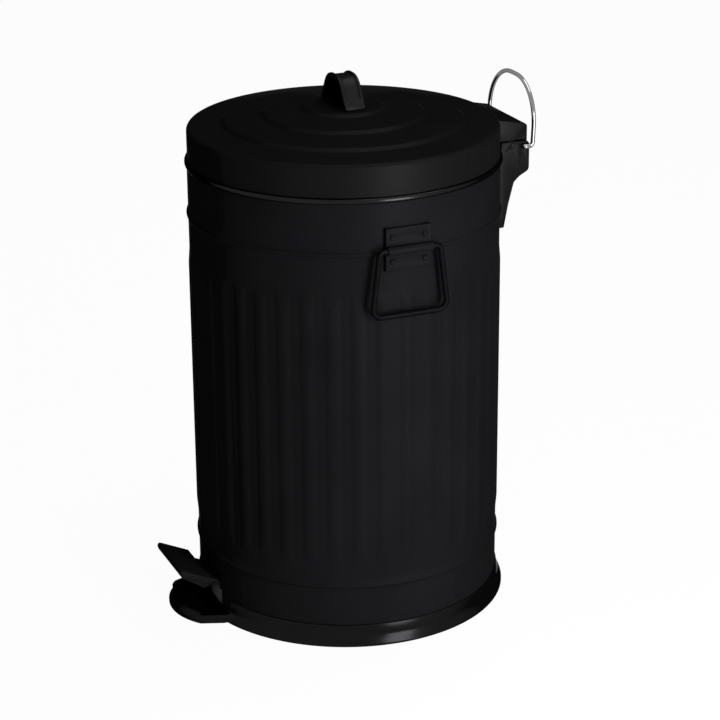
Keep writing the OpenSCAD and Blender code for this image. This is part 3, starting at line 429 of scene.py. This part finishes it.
class BIN_OT_body_wall(bpy.types.Operator):
    """Builds the fluted wall with its two pressed rings and the pedal's doorway"""

    bl_idname = "bin.body_wall"
    bl_label = "Body wall"

    def execute(self, context):
        sizes = context.scene.bin_sizes
        wall = sizes.wall_radius / MM
        heights = [5, 22, 40, 50]
        outline = [(wall, z, 0) for z in heights] + pressed_ring(wall, 57.5)
        outline += [(wall, z, 0) for z in (66, 72, 74.5, 77, 80, 83, 86, 89, 92, 94, 97)]
        outline += [(wall, z, 0) for z in range(115, 311, 15)]
        outline += [(wall, z, 0) for z in (313, 316, 318, 321, 324, 327, 330, 333, 335.5, 338, 350, 359)]
        outline += pressed_ring(wall, 367.5) + [(wall, z, 0) for z in (380, 400, 414.4)]
        piece = turned("body_wall", rounded_line(outline), sizes.steps_around)
        group = piece.vertex_groups.new(name="flutes")
        for vertex in piece.data.vertices:
            out = flute_height(math.atan2(vertex.co.y, vertex.co.x), vertex.co.z, sizes)
            if out > 0:
                group.add([vertex.index], out / sizes.flute_out, "REPLACE")
        clear_selection()
        piece.select_set(True)
        context.view_layer.objects.active = piece
        press = piece.modifiers.new("Flutes", "DISPLACE")
        press.vertex_group = "flutes"
        press.mid_level = 0
        press.strength = sizes.flute_out
        bpy.ops.object.modifier_apply(modifier=press.name)
        cut_doorway(piece, sizes)
        thick = piece.modifiers.new("Sheet", "SOLIDIFY")
        thick.thickness = sizes.sheet
        thick.offset = -1
        bpy.ops.object.modifier_apply(modifier=thick.name)
        piece.vertex_groups.clear()
        smooth(piece, 50)
        fit_out(piece, finish_of("body_paint"), "bin", "body_paint", "outer_shell")
        return {"FINISHED"}


def pressed_ring(wall, height, out=1.6, radius=2.4):
    """The outline of a ring pressed out of the wall, with a soft foot on both sides."""
    middle = wall + out - radius
    reach = math.degrees(math.acos((wall - middle) / radius))
    bow = [math.radians(reach * step / 6) for step in range(-5, 6)]
    line = [(middle + radius * math.cos(a), height + radius * math.sin(a), 0) for a in bow]
    foot = radius * math.sin(math.radians(reach)) + 0.9
    return [(wall, height - foot, 0)] + line + [(wall, height + foot, 0)]


def cut_doorway(piece, sizes):
    """Opens the wall in front for the pedal's lever."""
    half, top = sizes.doorway_half, sizes.doorway_top
    bpy.ops.object.mode_set(mode="EDIT")
    bpy.ops.mesh.select_mode(type="FACE")
    for co, no in (((half, 0, 0), (1, 0, 0)), ((-half, 0, 0), (1, 0, 0)), ((0, 0, top), (0, 0, 1))):
        select_faces(piece, lambda c: abs(c.x) < half + 4 * MM and c.y < 0 and c.z < top + 12 * MM)
        bpy.ops.mesh.bisect(plane_co=co, plane_no=no)
    select_faces(piece, lambda c: abs(c.x) < half and c.y < 0 and c.z < top)
    bpy.ops.mesh.delete(type="FACE")
    bpy.ops.object.mode_set(mode="OBJECT")


def select_faces(piece, wanted):
    """Selects the faces whose middle is where it is wanted. Starts and ends in edit mode."""
    bpy.ops.mesh.select_all(action="DESELECT")
    bpy.ops.object.mode_set(mode="OBJECT")
    for face in piece.data.polygons:
        face.select = wanted(face.center)
    bpy.ops.object.mode_set(mode="EDIT")


class BIN_OT_rim_bead(bpy.types.Operator):
    """Rolls the bead on the body's top edge"""

    bl_idname = "bin.rim_bead"
    bl_label = "Rim bead"

    def execute(self, context):
        middle = (rim_high.x - (rim_high.z - rim_low.z) / 2) / MM
        radius = (rim_high.z - rim_low.z) / 2 / MM
        height = (rim_high.z + rim_low.z) / 2 / MM
        tuck = [(150, 1.0), (162, 1.0), (170, 0.8), (178, 0.8), (186, 1.0)]
        arc = [(a, 1.0) for a in range(-150, 150, 10)] + tuck + [(198, 1.0)]
        outline = []
        for angle, size in arc:
            a = math.radians(angle)
            outline.append((middle + radius * size * math.cos(a), height + radius * size * math.sin(a), 0))
        piece = turned("rim_bead", rounded_line(outline, True), 320, closed=True)
        smooth(piece, 50)
        fit_out(piece, finish_of("rim_paint"), "bin", "rim_paint", "body_rim")
        return {"FINISHED"}


class BIN_OT_base_ring(bpy.types.Operator):
    """Dresses the moulded base ring with its tongue"""

    bl_idname = "bin.base_ring"
    bl_label = "Base ring"

    def execute(self, context):
        piece = merged_copy("base_ring", "base_moulding")
        smooth(piece, 32)
        fit_out(piece, finish_of("base_plastic"), "bin", "base_plastic", "base_ring")
        return {"FINISHED"}


class BIN_OT_lid(bpy.types.Operator):
    """Builds the pressed lid with its three steps"""

    bl_idname = "bin.lid"
    bl_label = "Lid"

    def execute(self, context):
        edge = lid_high.x / MM
        low = lid_low.z / MM
        skirt, rise, lift, run = 28.2, 5.6, 2.9, 4.0
        top = low + skirt
        steps = [105, 70, 35]
        outside = [(edge, low, 0), (edge, top, 4)]
        for i, radius in enumerate(steps):
            height = top + (i + 1) * rise
            outside += [(radius + run, height - lift, 2.4), (radius, height, 2.4)]
        crown = top + 3 * rise + 1
        outside += [(12, crown - 0.25, 4), (3, crown, 0)]
        sheet = context.scene.bin_sizes.sheet / MM
        inside = [(max(r - (sheet if i < 2 else 0), 2.5), z - (sheet if i else 0), max(k - sheet, 0))
                  for i, (r, z, k) in enumerate(outside)]
        outline = rounded_line(outside[::-1]) + rounded_line(inside)
        piece = close_ends(turned("lid_pressing", outline, 320))
        smooth(piece, 50)
        fit_out(piece, finish_of("lid_paint"), "lid", "lid_paint", "lid_shell")
        return {"FINISHED"}


class BIN_OT_grip(bpy.types.Operator):
    """Dresses the strap grip on the lid"""

    bl_idname = "bin.grip"
    bl_label = "Grip"

    def execute(self, context):
        piece = soften(merged_copy("lid_grip", "grip_strap"), 0.7 * MM)
        smooth(piece, 75)
        fit_out(piece, finish_of("grip_paint"), "lid", "grip_paint", "lid_grip")
        return {"FINISHED"}


class BIN_OT_hinge(bpy.types.Operator):
    """Dresses the two moulded halves of the hinge"""

    bl_idname = "bin.hinge"
    bl_label = "Hinge"

    def execute(self, context):
        width = context.scene.bin_sizes.edge_round
        halves = (("hinge_bracket", "hinge_cheeks", "bin"), ("lid_hinge_block", "hinge_cap", "lid"))
        for node, name, body in halves:
            piece = soften(merged_copy(node, name), width)
            smooth(piece)
            fit_out(piece, finish_of("hinge_plastic"), body, "hinge_plastic", node)
        return {"FINISHED"}


class BIN_OT_pedal(bpy.types.Operator):
    """Dresses the tread"""

    bl_idname = "bin.pedal"
    bl_label = "Pedal"

    def execute(self, context):
        width = context.scene.bin_sizes.edge_round
        tread = soften(merged_copy("pedal_pad", "pedal_tread"), width * 0.7)
        smooth(tread)
        fit_out(tread, finish_of("pedal_plastic"), "pedal", "pedal_plastic", "pedal_pad")
        return {"FINISHED"}


class BIN_OT_handles(bpy.types.Operator):
    """Builds the drop handles with their riveted plates"""

    bl_idname = "bin.handles"
    bl_label = "Drop handles"

    def execute(self, context):
        low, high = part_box("side_handle_right")
        radius = (high.x - low.x) / 2
        x, top, bottom = (high.x + low.x) / 2, high.z - radius, low.z + radius
        wide, narrow, joint = high.y - radius, 28 * MM, 0.4 * MM
        for side, word in ((1, "right"), (-1, "left")):
            path = [(side * x, y, z) for y, z in (
                (joint, top), (narrow, top), (wide, bottom), (-wide, bottom), (-narrow, top), (-joint, top))]
            wire = bent_wire("drop_handle_" + word, path, [b * MM for b in (0, 4, 8, 8, 4, 0)], radius)
            smooth(wire, 60)
            node = "side_handle_" + word
            fit_out(wire, finish_of("wire_paint"), node, "wire_paint", node)
            plate = soften(merged_copy("handle_plate_" + word, "plate_" + word), 0.3 * MM, angle=40)
            smooth(plate)
            fit_out(plate, finish_of("plate_paint"), "bin", "plate_paint", "handle_plate_" + word)
        return {"FINISHED"}


class BIN_OT_carry_bail(bpy.types.Operator):
    """Bends the bright wire bail at the hinge"""

    bl_idname = "bin.carry_bail"
    bl_label = "Carry bail"

    def execute(self, context):
        radius, half, back, rise, lean = 2 * MM, 44.8 * MM, 8.5 * MM, 57.5 * MM, math.radians(2.5)
        pivot = Vector((0, 157.5 * MM, 416.5 * MM))
        turn = Matrix.Rotation(-lean, 3, "X")
        flat = [(39.6 * MM, 0, 0), (half, 0, 0), (half, back, 0), (half, back, rise)]
        flat += [(-x, y, z) for x, y, z in reversed(flat)]
        path = [pivot + turn @ Vector(p) for p in flat]
        wire = bent_wire("bail_wire", path, [b * MM for b in (0, 2.4, 4, 39.6, 39.6, 4, 2.4, 0)], radius, 24)
        smooth(wire, 60)
        fit_out(wire, finish_of("chrome_wire"), "carry_bail", "chrome_wire", "carry_bail")
        return {"FINISHED"}


class BIN_OT_bucket(bpy.types.Operator):
    """Dresses the inner bucket"""

    bl_idname = "bin.bucket"
    bl_label = "Inner bucket"

    def execute(self, context):
        piece = merged_copy("inner_bucket", "bucket")
        smooth(piece)
        fit_out(piece, finish_of("bucket_plastic"), "bucket", "bucket_plastic", "inner_bucket")
        return {"FINISHED"}


class BIN_OT_fittings(bpy.types.Operator):
    """Gives the frame's fasteners and hidden parts their finishes"""

    bl_idname = "bin.fittings"
    bl_label = "Fittings"

    def execute(self, context):
        finishes = {
            "pan_paint": ["floor_pan"],
            "zinc_steel": ["pedal_bracket", "bracket_rivets", "pedal_axle", "push_rod", "bracket_screws",
                           "lid_block_screws", "lid_crank", "grip_screws"],
            "spring_steel": ["axle_clips", "rod_clips"],
            "black_plastic": ["rod_guide"],
            "black_steel": ["hinge_pin", "pedal_lever", "pad_rivets"],
            "plate_paint": ["handle_rivets"],
            "bucket_wire": ["bucket_bail"],
        }
        for slot, nodes in finishes.items():
            for node in nodes:
                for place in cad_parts[node].material_slots:
                    place.material = finish_of(slot)
        return {"FINISHED"}


# ---------- studio ----------


def see_white(tree, lit, strength, where=None):
    """White to the eye, to reflections and to refractions, and lit as it is for all other light."""
    path = tree.nodes.new("ShaderNodeLightPath")
    total = path.outputs["Is Camera Ray"]
    for ray in ("Is Glossy Ray", "Is Transmission Ray"):
        add = tree.nodes.new("ShaderNodeMath")
        add.operation = "MAXIMUM"
        tree.links.new(total, add.inputs[0])
        tree.links.new(path.outputs[ray], add.inputs[1])
        total = add.outputs[0]
    if where is not None:
        there = tree.nodes.new("ShaderNodeMath")
        there.operation = "MULTIPLY"
        tree.links.new(total, there.inputs[0])
        tree.links.new(where, there.inputs[1])
        total = there.outputs[0]
    share = tree.nodes.new("ShaderNodeMath")
    share.operation = "MULTIPLY"
    share.inputs[1].default_value = strength
    tree.links.new(total, share.inputs[0])
    mix = tree.nodes.new("ShaderNodeMixShader")
    tree.links.new(share.outputs[0], mix.inputs[0])
    tree.links.new(lit, mix.inputs[1])
    return mix


def add_lamp(name, azimuth, elevation, distance, size, power):
    """A soft lamp that looks at the bin. Azimuth 0 is along +X and 90 along +Y."""
    clear_selection()
    a, e = math.radians(azimuth), math.radians(elevation)
    aim = Vector((0, 0, 0.24))
    place = aim + distance * Vector((math.cos(a) * math.cos(e), math.sin(a) * math.cos(e), math.sin(e)))
    turn = (place - aim).to_track_quat("Z", "Y").to_euler()
    bpy.ops.object.light_add(type="AREA", location=place, rotation=turn)
    lamp = bpy.context.object
    lamp.name = name
    lamp.data.shape = "RECTANGLE"
    lamp.data.size, lamp.data.size_y = size
    lamp.data.energy = power
    return lamp


class BIN_OT_studio(bpy.types.Operator):
    """Sets the camera, the pale floor and the soft lamps"""

    bl_idname = "bin.studio"
    bl_label = "Studio"

    def execute(self, context):
        scene = context.scene
        scene.view_settings.view_transform = "Standard"
        clear_selection()
        aim = Vector((0, 0, 0.2284))
        distance = 2.1
        azimuth, elevation, roll = math.radians(67.5), math.radians(20.67), math.radians(-0.572)
        back = Vector((math.sin(azimuth) * math.cos(elevation), -math.cos(azimuth) * math.cos(elevation),
                       math.sin(elevation)))
        right = Vector((math.cos(azimuth), math.sin(azimuth), 0))
        turn = Matrix((right, back.cross(right), back)).transposed() @ Matrix.Rotation(roll, 3, "Z")
        bpy.ops.object.camera_add(location=aim + distance * back, rotation=turn.to_euler())
        camera = context.object
        camera.name = "studio_camera"
        camera.data.sensor_width = 36
        camera.data.lens = 113.93
        camera.data.shift_x = 0.0203
        camera.data.shift_y = -0.012
        scene.camera = camera

        world = bpy.data.worlds.new("studio_air")
        world.use_nodes = True
        scene.world = world
        tree = world.node_tree
        dim = tree.nodes["Background"]
        dim.inputs["Color"].default_value = (1, 1, 1, 1)
        dim.inputs["Strength"].default_value = 0.20
        bright = tree.nodes.new("ShaderNodeBackground")
        bright.inputs["Color"].default_value = (1, 1, 1, 1)
        mix = see_white(tree, dim.outputs[0], 1.0)
        tree.links.new(bright.outputs[0], mix.inputs[2])
        tree.links.new(mix.outputs[0], tree.nodes["World Output"].inputs["Surface"])

        clear_selection()
        bpy.ops.mesh.primitive_circle_add(vertices=96, radius=6, fill_type="NGON", location=(0, 0, 0))
        floor = context.object
        floor.name = "studio_floor"
        material = bpy.data.materials.new("studio_floor")
        material.use_nodes = True
        tree = material.node_tree
        shader = tree.nodes["Principled BSDF"]
        shader.inputs["Roughness"].default_value = 0.9
        shader.inputs["Specular IOR Level"].default_value = 0.0
        cloth = grain(tree, (-500, 0), 40, 2)
        tree.links.new(tinted(tree, cloth, (0.86, 0.86, 0.86), 0.995, 1.005), shader.inputs["Base Color"])
        # Under the bin the floor stays as dark as its shadow makes it.
        place = tree.nodes.new("ShaderNodeTexCoord")
        reach = tree.nodes.new("ShaderNodeVectorMath")
        reach.operation = "LENGTH"
        outside = tree.nodes.new("ShaderNodeMath")
        outside.operation = "GREATER_THAN"
        outside.inputs[1].default_value = RING_REACH
        tree.links.new(place.outputs["Object"], reach.inputs[0])
        tree.links.new(reach.outputs["Value"], outside.inputs[0])
        mix = see_white(tree, shader.outputs[0], WHITE_SHARE, outside.outputs[0])
        glow = tree.nodes.new("ShaderNodeEmission")
        tree.links.new(glow.outputs[0], mix.inputs[2])
        tree.links.new(mix.outputs[0], tree.nodes["Material Output"].inputs["Surface"])
        floor.data.materials.append(material)

        add_lamp("key_softbox", 13, 8, 0.9, (0.28, 0.8), 9.5)
        add_lamp("top_softbox", 100, 72, 2.0, (1.2, 1.2), 20)
        return {"FINISHED"}


PIECES = ("studio", "body_wall", "rim_bead", "base_ring", "lid", "grip", "hinge", "pedal", "handles", "carry_bail",
          "bucket", "fittings")


class BIN_PT_panel(bpy.types.Panel):
    """Lists the steps that build the bin"""

    bl_label = "Pedal Bin"
    bl_idname = "BIN_PT_panel"
    bl_space_type = "VIEW_3D"
    bl_region_type = "UI"
    bl_category = "Pedal Bin"

    def draw(self, context):
        for group in (context.scene.bin_sizes, context.scene.bin_colours):
            box = self.layout.box()
            for name in group.bl_rna.properties.keys():
                if name not in ("rna_type", "name"):
                    box.prop(group, name)
        for name in PIECES:
            self.layout.operator("bin." + name)


CLASSES = (BinSizes, BinColours, BIN_OT_studio, BIN_OT_body_wall, BIN_OT_rim_bead, BIN_OT_base_ring, BIN_OT_lid,
           BIN_OT_grip, BIN_OT_hinge, BIN_OT_pedal, BIN_OT_handles, BIN_OT_carry_bail, BIN_OT_bucket,
           BIN_OT_fittings, BIN_PT_panel)


def register():
    """Adds the classes and their settings to Blender."""
    for cls in CLASSES:
        bpy.utils.register_class(cls)
    bpy.types.Scene.bin_sizes = bpy.props.PointerProperty(type=BinSizes)
    bpy.types.Scene.bin_colours = bpy.props.PointerProperty(type=BinColours)


def unregister():
    """Takes the settings and the classes away again."""
    del bpy.types.Scene.bin_colours
    del bpy.types.Scene.bin_sizes
    for cls in reversed(CLASSES):
        bpy.utils.unregister_class(cls)


def main():
    """Builds every piece in order."""
    register()
    for name in PIECES:
        getattr(bpy.ops.bin, name)()


if __name__ == "__main__":
    main()
